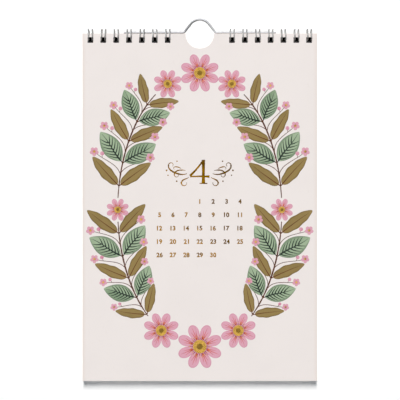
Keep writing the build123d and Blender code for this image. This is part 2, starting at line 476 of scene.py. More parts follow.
class Sprigs:
    """The leaves of one kind: where each begins, which way it points, and its size."""

    def __init__(self, ink, angles, length, width):
        place, heading, stretch = wreath_place(ink, angles)
        lean = np.concatenate([heading - ink.sprig_lean, heading + ink.sprig_lean])
        self.start = mirrored(np.tile(place, (2, 1)))
        self.along = mirrored(from_right(lean))
        self.upward = np.repeat([1, -1, -1, 1], len(angles))
        self.length = np.tile(stretch, 4) * length
        self.width = np.tile(stretch, 4) * width
        self.stalk = ink.leaf_stalk

    def flat(self, share, across):
        """Page points on each of the k leaves, (k, ..., 2). share is how far along the leaf they lie,
        as a share of its length, and across how far aside, as a share of its half width, both (...)."""
        k, single = len(self.length), (1,) * share.ndim
        ways = self.start, self.along, left_of(self.along)
        start, along, side = (way.reshape(k, *single, 2) for way in ways)
        reach = self.stalk + share * self.length.reshape(k, *single)
        out = across * self.width.reshape(k, *single) / 2
        return start + reach[..., None] * along + out[..., None] * side


def blossom_rays(centre, radius, turns, reach):
    """Lines out from the middle of each blossom, (k * lines, n, 2). turns, (lines, n), counts petals
    of eight round the blossom, and reach, (lines, n), is a share of its radius."""
    spoke = from_up(turns * pi / 4) * reach[..., None]
    lines = centre[:, None, None] + radius[:, None, None, None] * spoke
    return lines.reshape(-1, *reach.shape[-1:], 2)


# Materials

class Nodes:
    """A node tree, built by short calls. Each call gives back the socket that it ends in."""

    def __init__(self, tree):
        self.tree = tree

    def put(self, socket, value):
        """Link a socket to another, or set it."""
        if isinstance(value, bpy.types.NodeSocket):
            self.tree.links.new(value, socket)
        elif socket.type == "RGBA":
            socket.default_value = (*value, 1)
        else:
            socket.default_value = value

    def add(self, kind, inputs=None, output=0, **settings):
        """A node with its settings and inputs."""
        node = self.tree.nodes.new("ShaderNode" + kind)
        for name, value in settings.items():
            setattr(node, name, value)
        for key, value in (inputs or {}).items():
            self.put(node.inputs[key], value)
        return node.outputs[output]

    def fade(self, value, start, end, low=0.0, high=1.0):
        """low before start, high after end, smooth between."""
        return self.add("MapRange", {"Value": value, "From Min": start, "From Max": end,
                                     "To Min": low, "To Max": high}, interpolation_type="SMOOTHSTEP")


class Shader(Nodes):
    """A material's nodes, round its surface shader."""

    def __init__(self, name):
        self.material = bpy.data.materials.new(name)
        self.material.use_nodes = True
        super().__init__(self.material.node_tree)
        self.surface = self.tree.nodes["Principled BSDF"]

    def place(self, axis=None):
        """Object coordinates in metres, or one of them."""
        whole = self.add("TexCoord", output="Object")
        return self.add("SeparateXYZ", {"Vector": whole}, axis) if axis else whole

    def uv(self, scale=(1, 1, 1), axis=None):
        """UV coordinates, stretched, or one of them."""
        whole = self.add("Mapping", {"Vector": self.add("UVMap", uv_map="UVMap"), "Scale": scale})
        return self.add("SeparateXYZ", {"Vector": whole}, axis) if axis else whole

    def noise(self, scale, detail=3, stretch=(1, 1, 1), vector=None):
        """Noise from 0 to 1, with scale features to the metre."""
        wide = self.add("Mapping", {"Vector": vector or self.place(), "Scale": stretch})
        return self.add("TexNoise", {"Vector": wide, "Scale": scale, "Detail": detail})

    def maths(self, operation, first, second=0.0):
        """One step of arithmetic."""
        return self.add("Math", {0: first, 1: second}, operation=operation)

    def times(self, first, second):
        """A product."""
        return self.maths("MULTIPLY", first, second)

    def total(self, *terms):
        """A sum."""
        whole = terms[0]
        for term in terms[1:]:
            whole = self.maths("ADD", whole, term)
        return whole

    def off(self, value, middle):
        """How far a value lies from a middle."""
        return self.maths("ABSOLUTE", self.maths("SUBTRACT", value, middle))

    def layers(self, colour, *coats):
        """A colour under coats, each a share and its own colour, laid on in order."""
        for share, coat in coats:
            colour = self.add("Mix", {0: share, 6: colour, 7: coat}, 2, data_type="RGBA")
        return colour

    def attribute(self, name):
        """A number that the mesh carries."""
        return self.add("Attribute", output="Fac", attribute_name=name)

    def finish(self, colour, roughness, height, depth, metallic=0.0):
        """Colour, roughness and bump into the surface. depth is the bump's height in metres."""
        normal = self.add("Bump", {"Height": height, "Distance": depth, "Strength": 1.0})
        for name, value in (("Base Color", colour), ("Roughness", roughness),
                            ("Metallic", metallic), ("Normal", normal)):
            self.put(self.surface.inputs[name], value)
        return self.material


def shade(colour, factor):
    """A colour made darker or lighter."""
    return tuple(min(part * factor, 1) for part in colour)


def paper_material(name, colour, edge_colour, fibre):
    """Uncoated stock: cloudy formation, short fibres and a fine tooth. The sheet warms a little
    towards its long edges and its cut edge is darker. The walls of its holes are painted nearly
    black, as painted shade where little light comes. fibre is how strongly the fibres show."""
    shader = Shader(name)
    rim = shader.fade(shader.off(shader.place("X"), 0), PAGE_HALF_W - 3 * MM, PAGE_HALF_W, 0, 0.45)
    cloud = shader.fade(shader.noise(45, 4), 0.35, 0.7, 0, 0.30 * fibre)
    fibres = shader.noise(900, 6, (1, 1, 0.3))
    specks = shader.fade(fibres, 0.6, 0.8, 0, 0.16 * fibre)
    leaf_lines = shader.noise(9000, 2, (0.02, 1, 0.02))
    edge = shader.layers(edge_colour, (leaf_lines, shade(edge_colour, 0.8)))
    face = shader.layers(
        colour,
        (rim, edge_colour),
        (cloud, shade(colour, 0.95)),
        (specks, shade(edge_colour, 0.88)),
        (shader.attribute("cut"), edge),
        # Painted shade: the walls of the square holes are laid on nearly black.
        (shader.attribute("hole"), shade(edge_colour, 0.05)))
    tooth = shader.total(shader.noise(4200, 3), shader.times(fibres, 0.8))
    return shader.finish(face, shader.fade(tooth, 0.5, 1.2, 0.7, 0.86), tooth, 0.006 * MM * fibre)


def wire_material(name, colour, roughness, painted_shade):
    """Plated wire: drawing lines along it and small dulled places. The function given last gives
    more coats of painted shade, each a share and how dark it is."""
    shader = Shader(name)
    drawn = shader.noise(1, 4, vector=shader.uv((0.15, 14, 1)))
    dull = shader.fade(shader.noise(700, 5), 0.5, 0.78)
    coats = [(shader.fade(drawn, 0.4, 0.7, 0, 0.3), 0.72), (shader.times(dull, 0.4), 0.6), *painted_shade(shader)]
    tone = shader.layers(colour, *((share, shade(colour, dark)) for share, dark in coats))
    rough = shader.total(shader.fade(drawn, 0.3, 0.7, roughness * 0.8, roughness * 1.25),
                         shader.times(dull, 0.1))
    return shader.finish(tone, rough, drawn, 0.003 * MM, metallic=1.0)


def loop_wear(shader):
    """Painted shade on a loop: duller above the leaves' top edge and dark below, deep in the holes."""
    height = shader.place("Z")
    bright_low, bright_high = PAGE_TOP - 3.9 * MM, PAGE_TOP - 0.2 * MM
    # Painted shade above the leaves' top edge, and darker painted shade inside the holes below.
    return [(shader.fade(height, bright_high, bright_high + 3.0 * MM), 0.5),
            (shader.fade(height, bright_low, bright_low - 1.3 * MM), 0.2)]


def hanger_wear(shader):
    """Painted shade on the hanger's wire: darker under it, where y goes once round it, and over the
    hump up to its crown, most of all to the left."""
    around, height, side = shader.uv(axis="Y"), shader.place("Z"), shader.place("X")
    under = shader.times(shader.fade(around, 0.46, 0.6), shader.fade(around, 1.0, 0.92))
    hump = shader.times(shader.fade(height, PAGE_TOP + 1.0 * MM, PAGE_TOP + 2.6 * MM),
                        shader.fade(height, PAGE_TOP + 7.2 * MM, PAGE_TOP + 9.6 * MM, 1, 0.2))
    # Painted shade under the wire and over the hump, stronger to the left.
    return [(shader.times(under, shader.fade(side, 6 * MM, -1 * MM, 0.315, 0.9)), 0.12),
            (shader.times(hump, shader.fade(side, 6 * MM, -1 * MM, 0.45, 0.855)), 0.3)]


def leaf_ink_material(name, light, dark, rim, rim_width):
    """Gouache on a leaf: pools of two shades, brush streaks along the leaf, a lighter half, and a
    rim. UV x runs along the leaf and y across it; tone is one number for each leaf."""
    shader = Shader(name)
    across = shader.uv(axis="Y")
    streak = shader.noise(1, 5, vector=shader.uv((4, 26, 1)))
    grain = shader.noise(3800, 3)
    depth = shader.total(shader.times(shader.noise(170, 4), 1.1), shader.times(streak, 0.9),
                         shader.times(shader.attribute("tone"), 0.55),
                         shader.fade(across, 0.46, 0.54, 0, 0.22))
    out = shader.total(shader.off(across, 0.5), shader.times(shader.noise(600, 3), 0.05))
    tone = shader.layers(
        light,
        (shader.fade(depth, 0.95, 1.85), dark),
        (shader.fade(grain, 0.55, 0.75, 0, 0.22), shade(light, 1.25)),
        (shader.fade(out, 0.5 - rim_width, 0.5, 0, 0.85), rim))
    rough = shader.fade(grain, 0.3, 0.7, 0.62, 0.78)
    return shader.finish(tone, rough, shader.total(streak, grain), 0.008 * MM)


def petal_ink_material(name, ink):
    """Gouache on a blossom: darker by the disc and between petals, with streaks out along each
    petal. UV x runs from the middle out and the whole numbers of y lie between the petals."""
    shader = Shader(name)
    out = shader.uv(axis="X")
    aside = shader.off(shader.maths("FRACT", shader.uv(axis="Y")), 0.5)
    streak = shader.noise(1, 5, vector=shader.uv((3, 9, 1)))
    grain = shader.noise(3800, 3)
    depth = shader.total(shader.fade(out, 0.2, 0.75, 0.75, 0), shader.fade(aside, 0.3, 0.5, 0, 0.55),
                         shader.fade(streak, 0.4, 0.75, 0, 0.5),
                         shader.fade(shader.noise(240, 4), 0.45, 0.7, 0, 0.3))
    tone = shader.layers(
        ink.pink,
        (shader.fade(depth, 0.25, 1.35), ink.pink_dark),
        (shader.fade(aside, 0.475, 0.495, 0, 0.75), shade(ink.pink_dark, 0.72)),
        (shader.fade(out, 0.93, 1.0, 0, 0.6), shade(ink.pink_dark, 0.95)),
        (shader.fade(grain, 0.58, 0.78, 0, 0.2), shade(ink.pink, 1.3)))
    return shader.finish(tone, shader.fade(grain, 0.3, 0.7, 0.62, 0.78), streak, 0.008 * MM)


def line_ink_material(name, light, factor=0.6, dark=None):
    """A line or dot in two shades that drift along it, where the brush held less paint. The second is
    the first made darker by the factor, unless it is given."""
    shader = Shader(name)
    drift, grain = shader.noise(420, 5), shader.noise(3600, 2)
    tone = shader.layers(
        light,
        (shader.fade(drift, 0.38, 0.66), dark or shade(light, factor)),
        (shader.fade(grain, 0.6, 0.8, 0, 0.25), shade(light, 1.4)))
    return shader.finish(tone, shader.fade(grain, 0.3, 0.7, 0.6, 0.75), grain, 0.006 * MM)


def foil_material(name, ink):
    """Gold foil with painted reflection: broad lighter and darker drifts, darker to the right, and
    lighter flecks on a fine crinkle as painted glints.
    """
    shader = Shader(name)
    crinkle = shader.noise(2600, 4)
    # Painted reflection: broad drifts, and darker to the right.
    drift = shader.total(shader.noise(120, 4, (1, 1, 1.6)),
                         shader.fade(shader.place("X"), -30 * MM, 30 * MM, -0.09, 0.09))
    tone = shader.layers(
        ink.gold,
        (shader.fade(drift, 0.36, 0.64), ink.gold_dark),
        (shader.fade(crinkle, 0.52, 0.72, 0, 0.3), shade(ink.gold, 1.2)))
    shader.put(shader.surface.inputs["Specular IOR Level"], 0.08)
    return shader.finish(tone, shader.fade(crinkle, 0.3, 0.7, 0.36, 0.5), crinkle, 0.006 * MM)


def backdrop_material(name, colour):
    """A matt colour whose back is clear, so the object shows from there too."""
    shader = Shader(name)
    surface = shader.add("BsdfDiffuse", {"Color": colour})
    behind = shader.add("NewGeometry", output="Backfacing")
    both = shader.add("MixShader", {0: behind, 1: surface, 2: shader.add("BsdfTransparent")})
    shader.put(shader.tree.nodes["Material Output"].inputs["Surface"], both)
    shader.tree.nodes.remove(shader.surface)
    return shader.material


# Operators

class CALENDAR_OT_leaves(bpy.types.Operator):
    """Add the front leaf, the leaves under it and the backing board"""
    bl_idname = "calendar.leaves"
    bl_label = "Leaves and Board"

    def execute(self, context):
        paper, binding = context.scene.calendar_paper, context.scene.calendar_binding
        pitch = (PAGE_HIGH.y - PAGE_LOW.y) / paper.leaf_count
        thickness = pitch - paper.leaf_gap
        trims = paper.trim_spread * spread(paper.leaf_count)
        middles = PAGE_FRONT + pitch * np.arange(paper.leaf_count) + thickness / 2
        sheets = [punched_sheet(paper, binding, thickness, *own) for own in zip(trims, middles)]
        leaf = paper_material("leaf_paper", paper.leaf_colour, paper.edge_colour, 1.0)
        for name, own in (("front_leaf", sheets[:1]), ("leaf_stack", sheets[1:])):
            placed(self.marked(joined(name, own), paper), "pages", leaf, "page_block")
        board = punched_sheet(paper, binding, BOARD_HIGH.y - BOARD_LOW.y, paper.trim_spread * 0.3,
                              (BOARD_LOW.y + BOARD_HIGH.y) / 2)
        card = paper_material("board_card", paper.board_colour, shade(paper.edge_colour, 0.85), 2.2)
        sheet = self.marked(joined("board_sheet", [board]), paper)
        placed(sheet, "back", card, "backing_board")
        return {"FINISHED"}

    def marked(self, piece, paper):
        """Mark the faces on a sheet's cut edge with the attribute cut, and those in its square holes
        with hole too, which lays painted shade on them, where little light comes."""
        mesh = piece.data
        normals, centres = np.zeros((2, len(mesh.polygons) * 3))
        mesh.polygons.foreach_get("normal", normals)
        mesh.polygons.foreach_get("center", centres)
        reach, hole_z = np.abs(centres[0::3]), PAGE_TOP - paper.hole_drop - paper.hole_w / 2
        cut = np.abs(normals[1::3]) < 0.5
        inside = np.abs(hole_z - centres[2::3]) < 0.6 * paper.hole_w
        inside &= (reach > 1.2 * paper.thumb_r) & (reach < PAGE_HIGH.x - 1 * MM)
        for name, value in (("cut", cut), ("hole", cut & inside)):
            mark = mesh.attributes.new(name, "FLOAT", "FACE")
            mark.data.foreach_set("value", value.astype(np.float32))
        return piece


class CALENDAR_OT_wires(bpy.types.Operator):
    """Add the two binding wires, each a comb of hairpins rolled round the axis of its rings"""
    bl_idname = "calendar.wires"
    bl_label = "Binding Wires"

    def execute(self, context):
        """The comb's points, (x, run), are rolled: angle = base angle + run / r, x stays, and a loop's
        top leans aside by a share (-cos(angle))^3.5 of its own lean."""
        binding = context.scene.calendar_binding
        ring_r = (binding.ring_od - binding.wire_d) / 2
        half, corner_r = binding.hairpin_w / 2, binding.corner_r
        strand = (binding.tip_angle - binding.base_angle) * ring_r - half
        bend = np.linspace(0, pi / 2, 8, endpoint=False)
        ups = np.linspace(corner_r, strand, 72)
        tip = np.linspace(0, pi, 22)[1:-1]
        left_x = np.concatenate([-half - corner_r * (1 - np.sin(bend)), np.full(len(ups), -half)])
        left_run = np.concatenate([corner_r * (1 - np.cos(bend)), ups])
        comb_x = np.concatenate([left_x, -half * np.cos(tip), -left_x[::-1]])
        comb_run = np.concatenate([left_run, strand + half * np.sin(tip), left_run[::-1]])
        angle = binding.base_angle + comb_run / ring_r
        out = np.tile(np.stack([0 * angle, np.sin(angle), -np.cos(angle)], -1), (binding.loops, 1))
        steel = wire_material("binding_steel", binding.wire_colour, 0.3, loop_wear)
        for side, node in ((1, "right_binding_wire"), (-1, "left_binding_wire")):
            places = np.sort(side * loop_places(binding)) + binding.shift
            lean = binding.lean * np.sin(2.4 * np.arange(binding.loops) + side)
            leaning = lean[:, None] * np.maximum(-np.cos(angle), 0) ** 3.5
            path = ring_r * out + (0, -binding.ring_ahead, PAGE_TOP - binding.ring_drop)
            path[:, 0] = (places[:, None] + comb_x + leaning).ravel()
            piece = tube(node.replace("binding", "loop"), path, binding.wire_d / 2, -out)
            placed(piece, "back", steel, node)
        return {"FINISHED"}


class CALENDAR_OT_hanger(bpy.types.Operator):
    """Add the hanger, one wire bent to two legs and a hump"""
    bl_idname = "calendar.hanger"
    bl_label = "Hanger"

    def execute(self, context):
        """Leg, foot, flank, crown, flank, foot and leg follow each other. The heading goes evenly from
        0 to the flank's slope in a foot, and back through 0 in the crown."""
        shape = context.scene.calendar_hanger
        slope = shape.flank_angle
        radius = (HANGER_HIGH.y - HANGER_LOW.y) / 2
        leg_z = HANGER_LOW.z + radius
        rise = HANGER_HIGH.z - radius - leg_z
        peak = rise + shape.crown_r * (1 / np.cos(slope) - 1)
        foot_reach = shape.foot_r * np.tan(slope / 2)
        flank = peak / np.sin(slope) - foot_reach - shape.crown_r * np.tan(slope)
        leg = HANGER_HIGH.x - peak / np.tan(slope) - foot_reach - radius * 0.2
        foot, crown = shape.foot_r * slope, 2 * shape.crown_r * slope
        ends = np.cumsum([0, leg, foot, flank, crown, flank, foot, leg])
        run = np.linspace(0, ends[-1], 1801)
        heading = np.interp((run[1:] + run[:-1]) / 2, ends, slope * np.array([0, 0, 1, 1, -1, -1, 0, 0]))
        step = np.diff(run)[:, None] * np.stack([np.cos(heading), 0 * heading, np.sin(heading)], -1)
        path = np.pad(np.cumsum(step, axis=0), ((1, 0), (0, 0)))[::3]
        path += (-path[-1, 0] / 2, (HANGER_LOW.y + HANGER_HIGH.y) / 2, leg_z)
        steel = wire_material("hanger_steel", shape.wire_colour, 0.1, hanger_wear)
        piece = tube("hanger_wire", path, radius * 0.995, np.array([0.0, 1.0, 0.0]))
        placed(piece, "hanger", steel, "hanger")
        piece.visible_shadow = False
        return {"FINISHED"}


class CALENDAR_OT_wreath(bpy.types.Operator):
    """Print the wreath: stems, broad and slender leaves, blossoms and their lines"""
    bl_idname = "calendar.wreath"
    bl_label = "Wreath"

    def execute(self, context):
        """Broad and slender leaves take turns up the stem, and the middle place is a blossom's."""
        ink = context.scene.calendar_print
        field, line = ink.ink_t, ink.ink_t + ink.line_t
        every, middle = sprig_angles(ink)
        lower, upper = every[:middle], every[middle + 1:]
        broad = np.concatenate([lower[1::2], upper[1::2]])
        slender = np.concatenate([lower[::2], upper[::2]])
        self.stems(ink, np.concatenate([broad, slender]), field)
        self.broad_leaves(ink, Sprigs(ink, broad, ink.leaf_len, ink.sage_w), field, line)
        self.slender_leaves(ink, Sprigs(ink, slender, ink.leaf_len, ink.olive_w), field, line)
        place, _, _ = wreath_place(ink, np.array(ink.blossom_at))
        centre = np.concatenate([place[:2], mirrored(place[2:])])
        radius = np.array([*ink.blossom_r, *ink.blossom_r[2:]])
        self.petals(ink, centre, radius, field, line)
        yellow = line_ink_material("ink_gold", ink.yellow, 0.72)
        self.stamens(ink, centre, radius, line, yellow)
        self.discs(ink, centre, radius, field, yellow)
        self.sprays(ink, field)
        return {"FINISHED"}

    def stems(self, ink, leaves, field):
        """The oval stem in four runs, thinner to its ends, and a stalk to every leaf."""
        brown = line_ink_material("ink_brown", ink.brown)
        run = np.linspace(0, 1, 140)
        spans = np.reshape(ink.stem_ends, (2, 2))
        place, _, _ = wreath_place(ink, spans[:, :1] + (spans[:, 1:] - spans[:, :1]) * run)
        thin = 0.3 + 0.7 * np.sin(pi * np.clip(run, 0.02, 0.98)) ** 0.35
        half = ink.stem_w / 2 * thin * (1 + 0.12 * np.sin(run * 61) * np.sin(run * 23))
        printed(strokes("stems", mirrored(place), half, 0, field), "print_brown_stems", brown)

        run = np.linspace(0, 1, 9)
        reach = (run * (ink.leaf_stalk + 0.4 * MM) - ink.leaf_stalk) / ink.leaf_len
        stalks = Sprigs(ink, leaves, ink.leaf_len, ink.sage_w).flat(reach, 0 * run)
        half = ink.stem_w * (0.42 - 0.2 * run)
        printed(strokes("stalks", stalks, half, 0, field * 0.9), "print_brown_stems", brown)

    def broad_leaves(self, ink, sprigs, field, line):
        """Broad leaves: half width 0.5 sin(pi u^0.9)^0.8 of the width, with a midrib and curved side
        veins that thin out before the rim."""
        sage = leaf_ink_material("ink_sage", ink.sage, ink.sage_dark, shade(ink.sage_dark, 0.78), 0.16)
        u = np.linspace(0.003, 0.997, 44)

        def profile(share):
            return np.sin(pi * np.clip(share, 0.001, 0.999) ** 0.9) ** 0.8

        half = sprigs.width[:, None] / 2 * profile(u)
        tone = spread(len(half)) - 0.5
        leaves = strokes("sage_leaves", sprigs.flat(u, 0 * u), half, 0, field, tone)
        printed(leaves, "print_sage_leaves", sage)

        dark = line_ink_material("ink_vein", ink.vein)
        run = np.linspace(0, 1, 26)
        midrib = sprigs.flat(-0.03 + 0.97 * run, 0.05 * np.sin(2 * pi * run))
        half = sprigs.width[:, None] * 0.047 * (1.05 - run) ** 0.8 * np.minimum(1, 0.25 + run / 0.1)
        midribs = strokes("sage_midribs", midrib, half, field, line + 0.3 * ink.line_t)
        printed(midribs, "print_sage_leaves", dark)

        from_stem = np.linspace(0.07, 0.58, 6)[:, None]
        side = np.array([-1, 1])[:, None, None]
        share = from_stem + 0.05 * (side > 0) + 0.2 * run ** 1.3
        across = side * 0.8 * profile(share[..., -1:]) * run ** 0.92
        veins = sprigs.flat(share, across).reshape(-1, len(run), 2)
        half = ink.vein_w / 2 * (1.03 - run) ** 0.5
        printed(strokes("sage_veins", veins, half, field, line), "print_sage_leaves", dark)

    def slender_leaves(self, ink, sprigs, field, line):
        """Slender leaves: half width 0.5 sin(pi u^0.8)^0.6 of the width, with three low waves along
        the rim, and a midrib."""
        olive = leaf_ink_material("ink_olive", ink.olive, shade(ink.olive, 0.8), ink.olive_dark, 0.12)
        u = np.linspace(0.003, 0.997, 56)
        waves = 0.97 + 0.05 * np.sin(6 * pi * u)
        half = sprigs.width[:, None] / 2 * np.sin(pi * u ** 0.8) ** 0.6 * waves
        tone = spread(len(half), 0.3) - 0.5
        leaves = strokes("olive_leaves", sprigs.flat(u, 0.07 * np.sin(pi * u)), half, 0, field, tone)
        printed(leaves, "print_olive_leaves", olive)

        run = np.linspace(0, 1, 26)
        midrib = sprigs.flat(0.9 * run - 0.02, 0.07 * np.sin(pi * run))
        half = sprigs.width[:, None] * 0.042 * (1.05 - run) ** 0.7
        rust = line_ink_material("ink_rust", ink.rust, 0.65)
        printed(strokes("olive_midribs", midrib, half, field, line), "print_olive_leaves", rust)

    def petals(self, ink, centre, radius, field, line):
        """Round blossoms of eight petals, with three lines on each petal."""
        petals = patches("pink_blossoms", centre, radius, petal_edge(8, 0.5), 0, field, 8)
        printed(petals, "print_pink_blossoms", petal_ink_material("ink_pink", ink))
        run = np.linspace(0, 1, 20)
        middle = np.arange(8)[:, None] + 0.5
        offset = np.array([-0.2, 0, 0.2])[:, None, None]
        length = np.array([0.4, 0.56, 0.4])[:, None, None]
        turns = (middle + offset * (0.45 + 0.55 * run)).reshape(-1, len(run))
        reach = (0.33 + length * run + 0 * middle).reshape(-1, len(run))
        half = np.repeat(radius, len(turns))[:, None] * 0.016 * (1.04 - run) ** 0.6
        lines = strokes("petal_lines", blossom_rays(centre, radius, turns, reach), half, field, line)
        printed(lines, "print_pink_blossoms", line_ink_material("ink_coral", ink.coral, 0.75))

    def stamens(self, ink, centre, radius, line, yellow):
        """A ring of long and short stamens round each disc, with their tips."""
        amount, run = 28, np.linspace(0, 1, 20)
        turns = np.linspace(0, 8, amount + 1)[:-1, None] + 0.06 * np.sin(3 * run)
        length = 0.12 + 0.05 * (np.arange(amount) % 2)[:, None]
        rays = blossom_rays(centre, radius, turns, 0.29 + length * run)
        radius = np.repeat(radius, amount)
        stamens = strokes("stamens", rays, radius[:, None] * 0.009, line, line + ink.line_t)
        printed(stamens, "print_gold_discs", line_ink_material("ink_stamen", ink.rust, 0.7))
        top = line + 2 * ink.line_t
        tips = patches("stamen_tips", rays[:, -1], radius * 0.021, np.ones(14), line, top)
        printed(tips, "print_gold_discs", yellow)

    def discs(self, ink, centre, radius, field, yellow):
        """A disc on each blossom, with seeds in a spiral by the golden angle and a dark core."""
        radius, top = radius * ink.disc_share, 2 * field
        discs = patches("gold_discs", centre, radius, notched_edge(16, 0.035), field, top)
        printed(discs, "print_gold_discs", yellow)
        seed = np.arange(1, 64)
        reach = np.sqrt(seed / 64) * 0.93
        spots = centre[:, None] + radius[:, None, None] * from_up(seed * GOLDEN_ANGLE) * reach[:, None]
        seed_r = np.outer(radius, 0.05 + 0.025 * (1 - reach)).ravel()
        seeds = patches("disc_seeds", spots.reshape(-1, 2), seed_r, np.ones(14), top, top + ink.line_t)
        core = line_ink_material("ink_core", ink.core)
        printed(seeds, "print_gold_discs", core)
        edge = notched_edge(8, 0.12)
        cores = patches("disc_cores", centre, radius * 0.46, edge, top, top + 2 * ink.line_t)
        printed(cores, "print_gold_discs", core)

    def sprays(self, ink, field):
        """Sprays of a small blossom in the gaps between two leaves, outside the stem with a bud as
        well. Each stalk is a cubic curve from the stem, along the gap and past the lower leaf's tip.
        Its corners are given as (along the lower leaf, towards the upper leaf) from the lower leaf's
        root, in the gap's scale."""
        every, middle = sprig_angles(ink)
        gaps = Sprigs(ink, np.concatenate([every[:middle - 1], every[middle + 1:-1]]), MM, MM)
        broad_below = np.tile(np.arange(middle - 1) % 2, 8)[:, None]
        along_leaf = np.array([5.25, 12, 19.5, 28.0])
        to_upper = np.array([5.84, 9.5, 3.6, 3.1]) + broad_below * np.array([0, 1.5, 2.4, 1.5])
        side = left_of(gaps.along) * gaps.upward[:, None]
        scale = gaps.length / MM

        def in_gap(a, p):
            way = a[..., None] * gaps.along[:, None] + p[..., None] * side[:, None]
            return gaps.start[:, None] + gaps.length[:, None, None] * way

        t = np.linspace(0, 1, 40)
        weight = np.stack([(1 - t) ** 3, 3 * (1 - t) ** 2 * t, 3 * (1 - t) * t ** 2, t ** 3])
        a, p = along_leaf @ weight, to_upper @ weight
        stalk = in_gap(np.broadcast_to(a, p.shape), p)
        run, fork = np.linspace(0, 1, 12), 29
        twig_p = p[:, fork, None] + 1.9 * run ** 0.8
        twig = in_gap(np.broadcast_to(a[fork] + 1.9 * run, twig_p.shape), twig_p)
        outer = gaps.start[:, 0] * gaps.along[:, 0] > 0
        twig = twig[outer]
        brown = line_ink_material("ink_twig", ink.brown)
        stalks = strokes("spray_stalks", stalk, 0.24 * MM * (1 - 0.35 * t), 0, 0.8 * field)
        printed(stalks, "print_brown_stems", brown)
        printed(strokes("spray_twigs", twig, 0.15 * MM, 0, 0.7 * field), "print_brown_stems", brown)

        buds = patches("buds", twig[:, -1], ink.bud_r * scale[outer], np.ones(36), 0, 1.45 * field)
        printed(buds, "print_pink_blossoms", line_ink_material("ink_bud", ink.pink, dark=ink.pink_dark))
        centre, radius, top = stalk[:, -1], ink.small_blossom_r * scale, 1.6 * field
        petals = patches("small_blossoms", centre, radius, petal_edge(5, 0.62), 0, top, 5)
        printed(petals, "print_pink_blossoms", petal_ink_material("ink_small_petal", ink))
        discs = patches("small_discs", centre, 0.27 * radius, np.ones(24), top, 1.85 * field)
        ink_of_discs = line_ink_material("ink_small_disc", ink.yellow, dark=ink.core)
        printed(discs, "print_gold_discs", ink_of_discs)


class CALENDAR_OT_month(bpy.types.Operator):
    """Print the month number with its flourishes, and the days"""
    bl_idname = "calendar.month"
    bl_label = "Month Number and Days"

    def execute(self, context):
        ink = context.scene.calendar_print
        foil = foil_material("gold_foil", ink)
        for make in (self.number, self.flourishes, self.dots, self.days):
            printed(make(ink), "print_gold_discs", foil)
        return {"FINISHED"}

    def number(self, ink):
        """A four in pen strokes: half widths swell as a broad nib's do. In shares of its height."""
        run = np.linspace(0, 1, 60)
        ends = np.array([
            [[0.16, 0.99], [-0.40, 0.33]],
            [[-0.40, 0.30], [0.40, 0.30]],
            [[0.15, 0.99], [0.15, 0.03]],
            [[-0.01, 0.02], [0.31, 0.02]],
        ])
        bow = np.array([-0.035, 0.012, 0.0, 0.0])
        half = np.stack([
            0.030 + 0.016 * run,
            0.030 + 0.022 * run ** 3,
            0.072 - 0.014 * np.sin(pi * run),
            0.021 + 0 * run,
        ])
        centre = ends[:, :1] + (ends[:, 1:] - ends[:, :1]) * run[:, None]
        centre[..., 1] += bow[:, None] * np.sin(pi * run) - 0.5
        top = ink.ink_t * (0.6 + 0.1 * np.arange(4))
        centre = centre * ink.number_h + (0, PAGE_TOP - ink.number_drop)
        return strokes("month_number", centre, half * ink.number_h, 0, top)

    def flourishes(self, ink):
        """Scrolls each side of the number. Each turns faster and faster along its length."""
        start = np.array([[8.4, -1.2], [9.4, 0.9], [7.2, -3.6], [12.2, 1.9]]) * MM
        length = np.array([21, 13.5, 12.5, 7.0]) * MM
        heading = np.radians([-24, 8, -40, 46])
        first = np.radians([9, -1, 8, -6])
        total = np.radians([345, -300, -250, -230])
        boldness = np.array([1, 0.8, 0.8, 0.6])
        run = np.linspace(0, 1, 110)
        way = heading[:, None] + first[:, None] * np.sin(2 * pi * run) * 3 + total[:, None] * run ** 2.6
        step = from_right(way) * (length / (len(run) - 1))[:, None, None]
        centre = mirrored(start[:, None] + np.cumsum(step, axis=1) - step[:, :1])
        centre = centre + (0, PAGE_TOP - ink.number_drop)
        swell = 0.18 + 0.36 * np.sin(pi * run ** 0.75) ** 1.6
        top = ink.ink_t * np.tile(0.6 + 0.08 * np.arange(4), 2)
        return strokes("flourishes", centre, swell * MM * np.tile(boldness, 2)[:, None], 0, top)

    def dots(self, ink):
        """Round dots round the scrolls."""
        place = np.array([
            [20.4, 3.9], [21.8, 0.9], [20.9, -2.3], [15.2, -6.2], [12.4, -7.2], [15.0, 6.9]])
        place = mirrored(place) * MM + (0, PAGE_TOP - ink.number_drop)
        radius = np.tile(np.array([0.42, 0.55, 0.42, 0.5, 0.34, 0.45]) * MM, 2)
        return patches("number_dots", place, radius, np.ones(24), 0, ink.ink_t * 0.6)

    def days(self, ink):
        """The days' figures in rows of seven, each centred in its column."""
        pieces = []
        for day in range(1, ink.days + 1):
            row, column = divmod(day - 1 + ink.first_column, 7)
            points, faces = self.figures(ink, str(day))
            x, z = (column - 3) * ink.day_column, PAGE_TOP - ink.day_drop - row * ink.day_row
            pieces.append((points + (x, 0, z), faces))
        return joined("day_figures", pieces)

    def figures(self, ink, text):
        """The figures of one day as a raised mesh, bold, with their middle at the origin."""
        curve = bpy.data.curves.new("figures", "FONT")
        curve.body = text
        curve.size = ink.day_h / FIGURE_HEIGHT
        curve.offset = 0.036 * curve.size
        curve.space_character = 1.04
        curve.align_x, curve.align_y = "CENTER", "CENTER"
        curve.resolution_u = 6
        curve.extrude = ink.ink_t * 0.3
        points, faces = mesh_points_of(curve)
        middle = (points.min(axis=0) + points.max(axis=0)) / 2
        return points - (middle[0], ink.ink_t * 0.3 - PAGE_FRONT, middle[2]), faces


